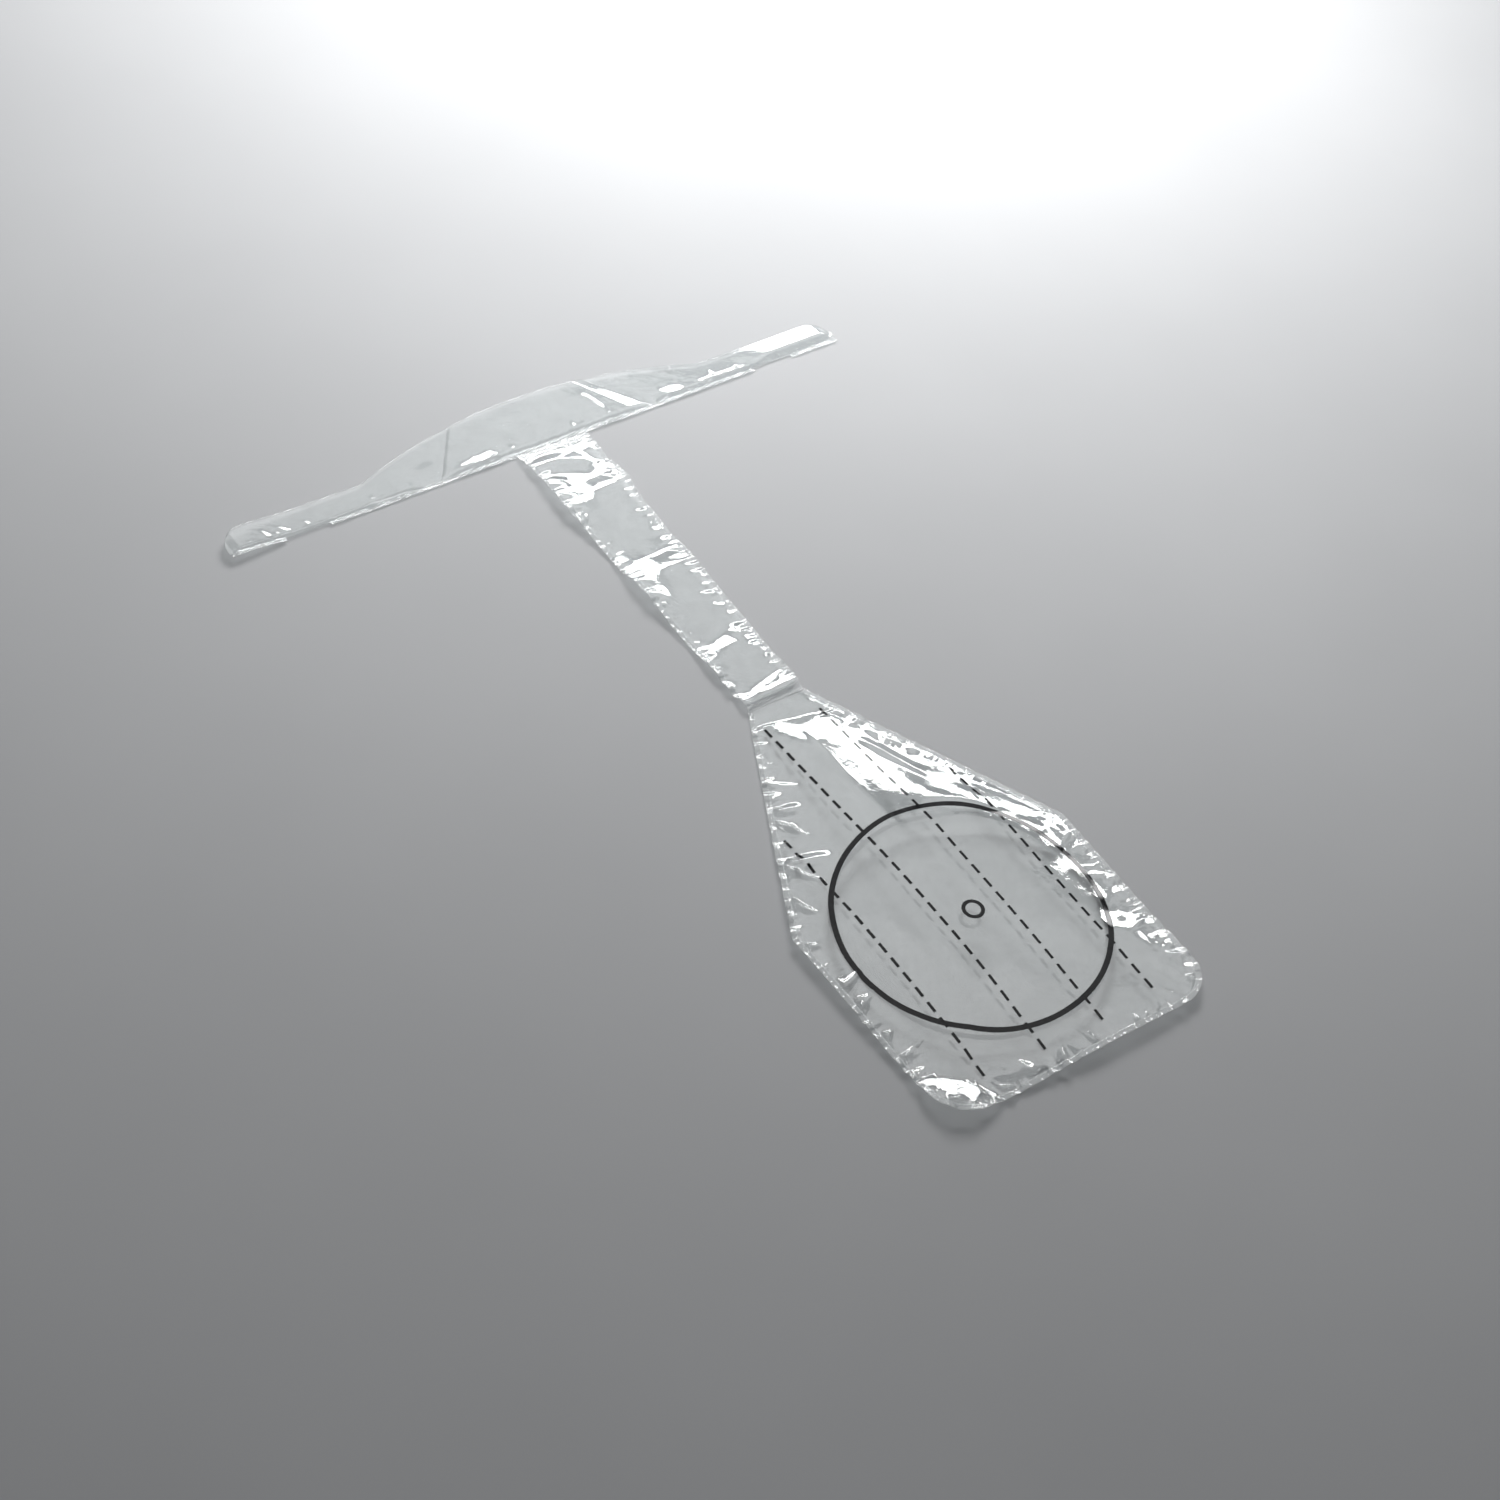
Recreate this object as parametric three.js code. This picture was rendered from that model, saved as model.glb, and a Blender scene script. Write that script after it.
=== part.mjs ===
// Clear film collar with a strap and a paddle-shaped pouch: two plies of thin film, heat-sealed at the
// edges, lying flat. Millimetres, +Z up. +Y runs from the paddle to the collar and +X along the collar.
// The origin is under the middle of the whole outline, on the surface that the film lies on.
import * as THREE from 'three';

// Film and seals
const filmThickness = 0.4;
const clearance = 0.3;
const sealWidth = 2.4;
const weldWidth = 4;

// Collar: a sleeve with its fold along the top and its seal along the bottom
const collarLength = 336;
const armWidth = 16.5;
const collarCentreWidth = 35.5;
const humpLength = 186;
const tipRadius = 13;
const creaseBottomSpan = 120;
const creaseTopSpan = 76;
const sealBreakStart = 117.5;
const sealBreakLength = 22.5;
const collarRise = 3.4;
const armRise = 2.4;

// Strap
const strapLength = 187;
const strapTopWidth = 37.5;
const strapEndWidth = 30.2;
const strapRise = 3;

// Paddle pouch
const flareLength = 114.5;
const sideLength = 107;
const shoulderWidth = 144;
const paddleEndWidth = 139;
const cornerRadius = 18;
const paddleRise = 7.5;

// Printed marks on the paddle's front ply
const inkThickness = 0.3;
const ringDiameter = 120;
const ringLineWidth = 2.1;
const ringCentreToEnd = 79.5;
const centreRingDiameter = 10;
const centreRingLineWidth = 1.7;
const lineSpacing = 29.3;
const lineWidth = 1.1;
const innerLineStart = 130;
const outerLineStart = 73;
const innerLineEnd = 69;
const outerLineEnd = 66;

// Places along Y
const overallLength = collarCentreWidth + strapLength + flareLength + sideLength;
const seamY = overallLength / 2 - collarCentreWidth;
const strapEndY = seamY - strapLength;
const shoulderY = strapEndY - flareLength;
const paddleEndY = shoulderY - sideLength;
const ringCentreY = paddleEndY + ringCentreToEnd;

// Heights
const sealThickness = 2 * filmThickness + clearance;
const frontPlyBase = filmThickness + clearance;
const filmInset = sealWidth + clearance;

const { clamp, lerp, smoothstep } = THREE.MathUtils;

const film = { color: 0xdde6e6, roughness: 0.12, metalness: 0, transparent: true, opacity: 0.4 };
const seal = { color: 0xeef3f3, roughness: 0.25, metalness: 0, transparent: true, opacity: 0.6 };
const ink = { color: 0x17181a, roughness: 0.45, metalness: 0 };

function named(name, geometry, look) {
  const mesh = new THREE.Mesh(geometry, new THREE.MeshStandardMaterial(look));
  mesh.name = name;
  return mesh;
}

// A slab of columns by rows cells, one cell thick. place(i, j, k) gives each corner, where k is 0 on the
// underside and 1 on top.
function mappedSlab(columns, rows, place) {
  const slab = new THREE.BoxGeometry(1, 1, 1, columns, rows, 1);
  const corners = slab.attributes.position;
  for (let n = 0; n < corners.count; n += 1) {
    const i = Math.round((corners.getX(n) + 0.5) * columns);
    const j = Math.round((corners.getY(n) + 0.5) * rows);
    const k = Math.round(corners.getZ(n) + 0.5);
    corners.setXYZ(n, ...place(i, j, k));
  }
  slab.computeVertexNormals();
  return slab;
}

// A flat plate from an outline of [x, y] points, standing on z = 0.
function plate(outline, thickness) {
  const shape = new THREE.Shape(outline.map(([x, y]) => new THREE.Vector2(x, y)));
  return new THREE.ExtrudeGeometry(shape, { depth: thickness, bevelEnabled: false });
}

function arch(across) {
  return 1 - across * across;
}

// ---- Collar ---------------------------------------------------------------------------------------------

const humpHalf = humpLength / 2;
const tipX = collarLength / 2;

// Height of the collar's folded top edge above its lower edge, at a distance x from the middle.
function collarTop(x) {
  const hump = (collarCentreWidth - armWidth) * Math.max(arch(x / humpHalf), 0);
  const intoTip = Math.max(x - (tipX - tipRadius), 0);
  const round = tipRadius - Math.sqrt(Math.max(tipRadius ** 2 - intoTip ** 2, 0));
  return armWidth + hump - round;
}

// The crease runs from the lower edge, further out, to the folded edge, further in.
const creaseBottomX = creaseBottomSpan / 2;
const creaseTopX = creaseTopSpan / 2;
const creaseTopHeight = collarTop(creaseTopX);
const creaseLean = (creaseBottomX - creaseTopX) / creaseTopHeight;
const creaseHalfGap = (clearance / 2) * Math.hypot(1, creaseLean);

function creaseX(height) {
  return creaseBottomX - creaseLean * height;
}

// One cross-section of the folded sheet, walked from its free front edge, over the fold, to its free back
// edge: [distance from the free edges, height above the surface].
const frontSteps = 9;
const foldSteps = 4;
const backSteps = 1;
const sleeveRows = frontSteps + foldSteps + backSteps;
const foldRadius = (filmThickness + clearance) / 2;

function sleeveSection(j, outward, width, rise) {
  const halfPly = (outward - 0.5) * filmThickness;
  const flat = width - foldRadius - filmThickness / 2;
  const middle = filmThickness / 2 + foldRadius;
  if (j <= frontSteps) {
    const along = j / frontSteps;
    return [flat * along, middle + foldRadius + halfPly + rise * arch(2 * along - 1)];
  }
  if (j <= frontSteps + foldSteps) {
    const turn = Math.PI / 2 - (Math.PI * (j - frontSteps)) / foldSteps;
    const radius = foldRadius + halfPly;
    return [flat + radius * Math.cos(turn), middle + radius * Math.sin(turn)];
  }
  return [0, middle - foldRadius - halfPly];
}

// A length of the sleeve. column(i) gives the section's foot x, head x, head height and rise.
function sleeve(columns, column) {
  return mappedSlab(columns, sleeveRows, (i, j, k) => {
    const { footX, headX, headHeight, rise } = column(i);
    const [along, z] = sleeveSection(j, k, headHeight - filmInset, rise);
    const height = filmInset + along;
    return [lerp(footX, headX, height / headHeight), seamY + height, z];
  });
}

function pinch(distance, reach) {
  return smoothstep(distance, 0, reach);
}

function collarFilm() {
  const columns = 24;
  const half = creaseTopX - creaseHalfGap;
  return sleeve(columns, (i) => {
    const side = (2 * i) / columns - 1;
    const headX = side * half;
    return {
      footX: side * (creaseBottomX - creaseHalfGap),
      headX,
      headHeight: collarTop(Math.abs(headX)),
      rise: collarRise * pinch((1 - Math.abs(side)) * half, 24),
    };
  });
}

// side is -1 for the left arm and 1 for the right arm.
function armFilm(side) {
  const columns = 26;
  const footStart = creaseBottomX + creaseHalfGap;
  const headStart = creaseTopX + creaseHalfGap;
  const tipShare = 0.35;
  return sleeve(columns, (i) => {
    const step = side > 0 ? i : columns - i;
    const run = step / columns;
    const tipStart = tipX - tipRadius;
    const intoTip = clamp((run - (1 - tipShare)) / tipShare, 0, 1);
    const alongArm = clamp(run / (1 - tipShare), 0, 1);
    const reach = tipRadius * Math.sin((intoTip * Math.PI) / 2) * 0.97;
    const headX = lerp(headStart, tipStart, alongArm) + reach;
    const footX = lerp(footStart, tipStart, alongArm) + reach;
    return {
      footX: side * footX,
      headX: side * headX,
      headHeight: collarTop(headX),
      rise: armRise * pinch(headX - headStart, 24) * pinch(tipX - headX, tipRadius),
    };
  });
}

// A stretch of the lower seal between two distances from the middle, cut along the crease where it meets it.
function collarSealStrip(fromX, toX) {
  return plate([
    [fromX(0), seamY],
    [toX(0), seamY],
    [toX(sealWidth), seamY + sealWidth],
    [fromX(sealWidth), seamY + sealWidth],
  ], sealThickness);
}

function collarSeal() {
  const edge = (height) => creaseX(height) - creaseHalfGap;
  return collarSealStrip((height) => -edge(height), edge);
}

function armSeal(side) {
  const inner = (height) => side * (creaseX(height) + creaseHalfGap);
  const outer = () => side * sealBreakStart;
  return side > 0 ? collarSealStrip(inner, outer) : collarSealStrip(outer, inner);
}

function tipSeal(side) {
  const inner = () => side * (sealBreakStart + sealBreakLength);
  const outer = () => side * tipX;
  return side > 0 ? collarSealStrip(inner, outer) : collarSealStrip(outer, inner);
}

// ---- Strap ----------------------------------------------------------------------------------------------

const strapTopY = seamY - clearance;
const topWeldY = strapTopY - weldWidth;
const strapPlyTopY = topWeldY - clearance;
const endWeldY = strapEndY + weldWidth;
const strapPlyEndY = endWeldY + clearance;

function strapHalf(y) {
  return lerp(strapEndWidth, strapTopWidth, (y - strapEndY) / strapLength) / 2;
}

function strapPly(columns, rows, base, rise) {
  return mappedSlab(columns, rows, (i, j, k) => {
    const y = lerp(strapPlyEndY, strapPlyTopY, j / rows);
    const across = (2 * i) / columns - 1;
    const fromEnds = Math.min(y - strapPlyEndY, strapPlyTopY - y);
    const z = base + filmThickness * k + rise * arch(across) * pinch(fromEnds, 20);
    return [across * (strapHalf(y) - filmInset), y, z];
  });
}

function strapCross(lowY, highY) {
  return plate([
    [-strapHalf(lowY), lowY],
    [strapHalf(lowY), lowY],
    [strapHalf(highY), highY],
    [-strapHalf(highY), highY],
  ], sealThickness);
}

function strapSideSeal(side) {
  const outline = [
    [side * strapHalf(strapPlyEndY), strapPlyEndY],
    [side * strapHalf(strapPlyTopY), strapPlyTopY],
    [side * (strapHalf(strapPlyTopY) - sealWidth), strapPlyTopY],
    [side * (strapHalf(strapPlyEndY) - sealWidth), strapPlyEndY],
  ];
  return plate(side > 0 ? outline : outline.reverse(), sealThickness);
}

// ---- Paddle ---------------------------------------------------------------------------------------------

const paddleTopY = strapEndY - clearance;
const flareSlope = (shoulderWidth - strapEndWidth) / 2 / flareLength;
const sideSlope = (shoulderWidth - paddleEndWidth) / 2 / sideLength;
const flareStretch = Math.hypot(1, flareSlope);
const sideStretch = Math.hypot(1, sideSlope);

// Half the paddle's width at y, measured to an outline that is inset from its cut edge.
function paddleHalf(y, inset) {
  const flare = strapEndWidth / 2 + flareSlope * (strapEndY - y) - inset * flareStretch;
  const side = shoulderWidth / 2 - sideSlope * (shoulderY - y) - inset * sideStretch;
  const radius = cornerRadius - inset;
  const intoCorner = paddleEndY + cornerRadius - y;
  const round = intoCorner > 0 ? radius - Math.sqrt(Math.max(radius ** 2 - intoCorner ** 2, 0)) : 0;
  return Math.min(flare, side) - round;
}

// Where the inset flare and the inset side meet.
function shoulderRow(inset) {
  return shoulderY - (inset * (flareStretch - sideStretch)) / (flareSlope + sideSlope);
}

// Rows from the bottom edge up to the neck, closer together round the bottom corners.
function paddleRows(inset, cornerSteps, sideSteps, flareSteps) {
  const radius = cornerRadius - inset;
  const rows = [];
  for (let n = 0; n < cornerSteps; n += 1) {
    rows.push(paddleEndY + cornerRadius - radius * Math.cos((n / cornerSteps) * (Math.PI / 2)));
  }
  const cornerTopY = paddleEndY + cornerRadius;
  const sideTopY = shoulderRow(inset);
  for (let n = 0; n < sideSteps; n += 1) rows.push(lerp(cornerTopY, sideTopY, n / sideSteps));
  for (let n = 0; n <= flareSteps; n += 1) rows.push(lerp(sideTopY, paddleTopY, n / flareSteps));
  return rows;
}

// How far the front ply stands up over the back ply, where across runs from -1 to 1 between its edges.
function paddleSwell(across, y) {
  const fromEnd = y - (paddleEndY + filmInset);
  return paddleRise * arch(across) * pinch(fromEnd, 70) * pinch(paddleTopY - y, 150);
}

function frontPlyTop(x, y) {
  const across = clamp(x / paddleHalf(y, filmInset), -1, 1);
  return sealThickness + paddleSwell(across, y);
}

function paddleFrontFilm() {
  const rows = paddleRows(filmInset, 5, 9, 10);
  const columns = 16;
  return mappedSlab(columns, rows.length - 1, (i, j, k) => {
    const across = (2 * i) / columns - 1;
    const y = rows[j];
    const z = frontPlyBase + filmThickness * k + paddleSwell(across, y);
    return [across * paddleHalf(y, filmInset), y, z];
  });
}

function paddleBackFilm() {
  const rows = paddleRows(filmInset, 5, 2, 1);
  return mappedSlab(1, rows.length - 1, (i, j, k) => {
    const across = 2 * i - 1;
    return [across * paddleHalf(rows[j], filmInset), rows[j], filmThickness * k];
  });
}

function paddleEdgeSeal() {
  const outerRows = paddleRows(0, 6, 1, 1);
  const innerRows = paddleRows(sealWidth, 6, 1, 1);
  const side = (rows, inset, sign) => rows.map((y) => [sign * paddleHalf(y, inset), y]);
  return plate([
    ...side(outerRows, 0, -1).reverse(),
    ...side(outerRows, 0, 1),
    ...side(innerRows, sealWidth, 1).reverse(),
    ...side(innerRows, sealWidth, -1),
  ], sealThickness);
}

// ---- Printed marks --------------------------------------------------------------------------------------

const lineLift = clearance;
const ringLift = lineLift + inkThickness + clearance;

// Lays a flat plate over the front ply's swell, lift above it.
function drape(geometry, lift) {
  const corners = geometry.attributes.position;
  for (let n = 0; n < corners.count; n += 1) {
    const surface = frontPlyTop(corners.getX(n), corners.getY(n));
    corners.setZ(n, corners.getZ(n) + surface + lift);
  }
  geometry.computeVertexNormals();
  return geometry;
}

function printedRing(diameter, width, steps) {
  const shape = new THREE.Shape().absarc(0, ringCentreY, diameter / 2, 0, 2 * Math.PI, false);
  shape.holes.push(new THREE.Path().absarc(0, ringCentreY, diameter / 2 - width, 0, 2 * Math.PI, true));
  const settings = { depth: inkThickness, bevelEnabled: false, curveSegments: steps };
  return drape(new THREE.ExtrudeGeometry(shape, settings), ringLift);
}

// A row of dashes is one printed line here, from start above the ring's centre to end below it.
function printedLine(x, start, end) {
  const steps = 28;
  const strip = mappedSlab(1, steps, (i, j, k) => [
    x + (i - 0.5) * lineWidth,
    ringCentreY + lerp(-end, start, j / steps),
    inkThickness * k,
  ]);
  return drape(strip, lineLift);
}

// ---- Assembly -------------------------------------------------------------------------------------------

const collar = new THREE.Group();
collar.add(named('collar_film', collarFilm(), film));
collar.add(named('collar_seal', collarSeal(), seal));

const arms = new THREE.Group();
for (const [label, side] of [['left', -1], ['right', 1]]) {
  arms.add(named(`${label}_arm_film`, armFilm(side), film));
  arms.add(named(`${label}_arm_seal`, armSeal(side), seal));
  arms.add(named(`${label}_tip_seal`, tipSeal(side), seal));
}

const strap = new THREE.Group();
strap.add(named('strap_front_film', strapPly(8, 22, frontPlyBase, strapRise), film));
strap.add(named('strap_back_film', strapPly(1, 1, 0, 0), film));
strap.add(named('strap_left_seal', strapSideSeal(-1), seal));
strap.add(named('strap_right_seal', strapSideSeal(1), seal));
strap.add(named('strap_top_weld', strapCross(topWeldY, strapTopY), seal));
strap.add(named('strap_end_weld', strapCross(strapEndY, endWeldY), seal));

const paddle = new THREE.Group();
paddle.add(named('paddle_front_film', paddleFrontFilm(), film));
paddle.add(named('paddle_back_film', paddleBackFilm(), film));
paddle.add(named('paddle_edge_seal', paddleEdgeSeal(), seal));

const marks = new THREE.Group();
marks.add(named('target_ring', printedRing(ringDiameter, ringLineWidth, 64), ink));
marks.add(named('centre_ring', printedRing(centreRingDiameter, centreRingLineWidth, 24), ink));
const innerX = lineSpacing / 2;
const outerX = innerX + lineSpacing;
for (const [label, side] of [['left', -1], ['right', 1]]) {
  marks.add(named(`inner_${label}_line`, printedLine(side * innerX, innerLineStart, innerLineEnd), ink));
  marks.add(named(`outer_${label}_line`, printedLine(side * outerX, outerLineStart, outerLineEnd), ink));
}

const filmCollar = new THREE.Group();
filmCollar.add(collar, arms, strap, paddle, marks);

export default filmCollar;
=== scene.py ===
"""Looks of the clear film collar: its film, welds and printed marks, with the floor, lights and camera.

The object is two plies of thin film, sealed at the edges, lying on a pale grey floor. Sizes here are in
millimetres, in the CAD frame, and the meshes are made in metres.
"""

import math

import bpy
import numpy as np
from mathutils import Matrix, Vector


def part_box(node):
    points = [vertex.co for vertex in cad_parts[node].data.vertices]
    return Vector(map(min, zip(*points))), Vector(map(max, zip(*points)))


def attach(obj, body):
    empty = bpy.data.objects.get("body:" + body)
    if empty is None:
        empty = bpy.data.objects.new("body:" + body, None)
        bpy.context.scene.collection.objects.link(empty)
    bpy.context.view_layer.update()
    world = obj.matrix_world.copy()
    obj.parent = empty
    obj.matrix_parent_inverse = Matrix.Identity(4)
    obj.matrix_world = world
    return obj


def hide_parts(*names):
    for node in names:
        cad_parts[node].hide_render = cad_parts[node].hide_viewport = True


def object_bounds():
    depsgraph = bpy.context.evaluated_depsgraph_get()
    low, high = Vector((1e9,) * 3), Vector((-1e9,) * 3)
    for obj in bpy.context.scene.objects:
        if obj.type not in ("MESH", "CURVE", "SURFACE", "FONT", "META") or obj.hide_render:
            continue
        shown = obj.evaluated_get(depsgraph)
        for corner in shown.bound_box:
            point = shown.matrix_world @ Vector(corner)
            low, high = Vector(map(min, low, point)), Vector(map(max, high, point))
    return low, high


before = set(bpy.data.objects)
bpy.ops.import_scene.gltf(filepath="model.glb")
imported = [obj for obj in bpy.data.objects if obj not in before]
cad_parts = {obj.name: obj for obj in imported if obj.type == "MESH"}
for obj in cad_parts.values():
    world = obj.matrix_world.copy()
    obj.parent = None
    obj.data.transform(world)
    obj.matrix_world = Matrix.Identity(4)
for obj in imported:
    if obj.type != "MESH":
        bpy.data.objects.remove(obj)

CAD_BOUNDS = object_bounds()
MM = 0.001


def node_box(name):
    """The lowest and highest corner of a CAD node, in millimetres."""
    low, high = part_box(name)
    return np.array(low) / MM, np.array(high) / MM


# ---- Sizes that the frame gives ------------------------------------------------------------------------

SEAM_Y = node_box("collar_seal")[0][1]
FOLD_Y = CAD_BOUNDS[1][1] / MM
TIP_X = CAD_BOUNDS[1][0] / MM
STRAP_TOP_Y = node_box("strap_top_weld")[1][1]
TOP_WELD_Y = node_box("strap_top_weld")[0][1]
STRAP_END_Y = node_box("strap_end_weld")[0][1]
END_WELD_Y = node_box("strap_end_weld")[1][1]
PADDLE_TOP_Y = node_box("paddle_edge_seal")[1][1]
PADDLE_END_Y = node_box("paddle_edge_seal")[0][1]
SHOULDER_HALF = node_box("paddle_edge_seal")[1][0]
RING_LOW, RING_HIGH = node_box("target_ring")
SPOT_LOW, SPOT_HIGH = node_box("centre_ring")
INNER_LOW, INNER_HIGH = node_box("inner_right_line")
OUTER_LOW, OUTER_HIGH = node_box("outer_right_line")

# ---- Sizes that repeat the CAD source ------------------------------------------------------------------

CLEARANCE = 0.3
SEAL_WIDTH = 2.4
ARM_WIDTH = 16.5
HUMP_HALF = 93
TIP_RADIUS = 13
CREASE_BOTTOM_X = 60
CREASE_TOP_X = 38
SEAL_BREAK_START = 117.5
SEAL_BREAK_END = 140
STRAP_TOP_HALF = 18.75
STRAP_END_HALF = 15.1
SHOULDER_Y = -115
PADDLE_END_HALF = 69.5
CORNER_RADIUS = 18
HINGE_HEIGHT = 1.1

# ---- Film ------------------------------------------------------------------------------------------------

FILM = 0.1
FILM_INDEX = 1.62
MILK_COLOUR = (0.88, 0.915, 0.92)
WRINKLE_DEPTH = 0.4 * MM
RUB_SCALE = 90
SEAL_BODY = 0.12
SEAL_BEAD = 0.24
REST_HEIGHT = 0.3
FLOOR_GAP = 0.05
PLY_GAP = 0.16
WELD_OVERLAP = 0.25
FILM_INSET = SEAL_WIDTH - WELD_OVERLAP
RING_LINE = 2.4
SPOT_LINE = 1.7
DASH_PITCH = 8.4
DASH_LENGTH = 5.3
DASH_WIDTH = 1.3
MARK_LIFT = 0.13
MARK_THICKNESS = 0.06


# ---- Small helpers ---------------------------------------------------------------------------------------

def smooth(t):
    t = np.clip(t, 0, 1)
    return t * t * (3 - 2 * t)


def ramp(value, start, end):
    """0 before start, 1 after end, with a smooth change between them; start may be the larger one."""
    return smooth((value - start) / (end - start))


def rise_to(value, start, end):
    """0 before start, 1 after end, with an even slope between them and slightly rounded ends."""
    t = (value - start) / (end - start)
    rounding = 0.06
    low = np.clip((t + rounding) / (2 * rounding), 0, 1)
    high = np.clip((1 + rounding - t) / (2 * rounding), 0, 1)
    return np.clip(t, 0, 1) + rounding / 2 * ((1 - low) * low - (1 - high) * high)


def hill(value, centre, reach):
    """1 at the centre, falling smoothly to 0 at reach on both sides."""
    return smooth(1 - np.abs(value - centre) / reach)


def mix(a, b, share):
    return a + (b - a) * share


def soft_min(a, b, radius):
    """The lower of two surfaces, with the ridge between them rounded."""
    near = np.maximum(radius - np.abs(a - b), 0) / radius
    return np.minimum(a, b) - near * near * radius / 4


def triangle(phase):
    """A triangle wave with slightly rounded crests, from -1 to 1."""
    sharpness = 0.985
    return np.arcsin(sharpness * np.sin(phase)) / math.asin(sharpness)


FACET_BEND = 4
FACET_BEND_REACH = (23, 19)


def crumple(x, y, seed, wavelength, stretch=1.0, waves=5):
    """Flat facets that meet in soft creases: triangle waves that run in different directions. A stretch
    over 1 turns the creases across Y."""
    random = np.random.default_rng(seed)
    bend_x = x + FACET_BEND * np.sin(y / FACET_BEND_REACH[0] + random.uniform(0, 6))
    bend_y = y + FACET_BEND * np.sin(x / FACET_BEND_REACH[1] + random.uniform(0, 6))
    total = np.zeros(np.broadcast(x, y).shape)
    for _ in range(waves):
        angle = random.uniform(0, math.pi)
        direction = np.array([math.cos(angle) / stretch, math.sin(angle)])
        direction /= np.linalg.norm(direction)
        length = wavelength * random.uniform(0.6, 1.7)
        phase = (bend_x * direction[0] + bend_y * direction[1]) * 2 * math.pi / length
        total += length / wavelength * triangle(phase + random.uniform(0, 6))
    return total / waves


def ripple(along, seed, wavelength, waves=6):
    """An uneven wave along an edge, about -1 to 1."""
    random = np.random.default_rng(seed)
    total = np.zeros(np.shape(along))
    for _ in range(waves):
        length = wavelength * random.uniform(0.55, 2.2)
        total += np.sin(along * 2 * math.pi / length + random.uniform(0, 6))
    return total / math.sqrt(waves)


def puckers(along, distance, seed, span, spacing, steepness, reach):
    """Short tents that run inward from a weld, where the sealed edge has shrunk. along is the place along
    the weld within span, and distance is how far inside it a point is."""
    random = np.random.default_rng(seed)
    total = np.zeros(np.broadcast(along, distance).shape)
    place = span[0]
    while place < span[1]:
        place += spacing * random.uniform(0.5, 1.6)
        half = spacing * random.uniform(0.22, 0.5)
        length = reach * random.uniform(0.3, 1.3)
        lean = random.uniform(-0.7, 0.7)
        size = half * steepness * random.choice([-0.8, 0.7, 1.0]) * random.uniform(0.6, 1.3)
        aside = (along - place - lean * distance) / (half * ramp(distance, 1.25 * length, 0) + 0.01)
        tent = np.clip(1 - np.abs(aside), 0, 1)
        total += size * tent * ramp(distance, 0, 1.2) * np.clip(1 - distance / length, 0, 1)
    return total


FLANK_ROUNDING = 0.25
FOLD_OVERRUN = 0.2


def fold(x, y, start, end, height, near_width, far_width):
    """A fold with almost flat flanks, from start to end. near_width is the flank on the right of that
    direction, and far_width the one on its left. It fades out over its ends."""
    run = np.subtract(end, start)
    length = np.hypot(*run)
    run = run / length
    along = (x - start[0]) * run[0] + (y - start[1]) * run[1]
    aside = (y - start[1]) * run[0] - (x - start[0]) * run[1]
    width = np.where(aside > 0, far_width, near_width)
    rise = np.clip(1 - np.abs(aside) / width, 0, 1)
    flank = rise - FLANK_ROUNDING * np.sin(2 * math.pi * rise) / (2 * math.pi)
    fade = FOLD_OVERRUN * length
    ends = ramp(along, -fade, fade) * ramp(along, length + fade, length - fade)
    return height * flank * ends


def fold_heights(x, y, folds):
    """All the folds of a list, added up."""
    total = np.zeros(np.broadcast(x, y).shape)
    for start, end, height, near_width, far_width in folds:
        total = total + fold(x, y, start, end, height, near_width, far_width)
    return total


# ---- Mesh making -----------------------------------------------------------------------------------------

def grid_normals(grid):
    normals = np.cross(np.gradient(grid, axis=1), np.gradient(grid, axis=0))
    lengths = np.linalg.norm(normals, axis=2, keepdims=True)
    return normals / np.maximum(lengths, 1e-9)


def quads(a, b, c, d):
    """Four-sided faces from four equal arrays of point numbers."""
    return np.stack([a, b, c, d], axis=-1).reshape(-1, 4)


def shell(grid, thickness, closed=False):
    """Points and faces of a thin solid body around a grid of rows by columns points. thickness may differ
    from point to point. A closed grid joins its last row to its first. Nothing goes below the floor."""
    if closed:
        wrapped = np.concatenate([grid[-1:], grid, grid[:1]])
        normals = grid_normals(wrapped)[1:-1]
    else:
        normals = grid_normals(grid)
    half = np.broadcast_to(thickness, grid.shape[:2])[..., None] / 2
    grid = np.concatenate([grid[..., :2], np.maximum(grid[..., 2:], half + FLOOR_GAP)], axis=2)
    offset = normals * half
    rows, columns = grid.shape[:2]
    points = np.concatenate([(grid + offset).reshape(-1, 3), (grid - offset).reshape(-1, 3)])
    top = np.arange(rows * columns).reshape(rows, columns)
    if closed:
        top = np.concatenate([top, top[:1]])
    low = top + rows * columns

    faces = [
        quads(top[:-1, :-1], top[:-1, 1:], top[1:, 1:], top[1:, :-1]),
        quads(low[:-1, :-1], low[1:, :-1], low[1:, 1:], low[:-1, 1:]),
        quads(top[:-1, 0], top[1:, 0], low[1:, 0], low[:-1, 0]),
        quads(top[:-1, -1], low[:-1, -1], low[1:, -1], top[1:, -1]),
    ]
    if not closed:
        faces.append(quads(top[0, :-1], low[0, :-1], low[0, 1:], top[0, 1:]))
        faces.append(quads(top[-1, :-1], top[-1, 1:], low[-1, 1:], low[-1, :-1]))
    return points, np.concatenate(faces)


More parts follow.
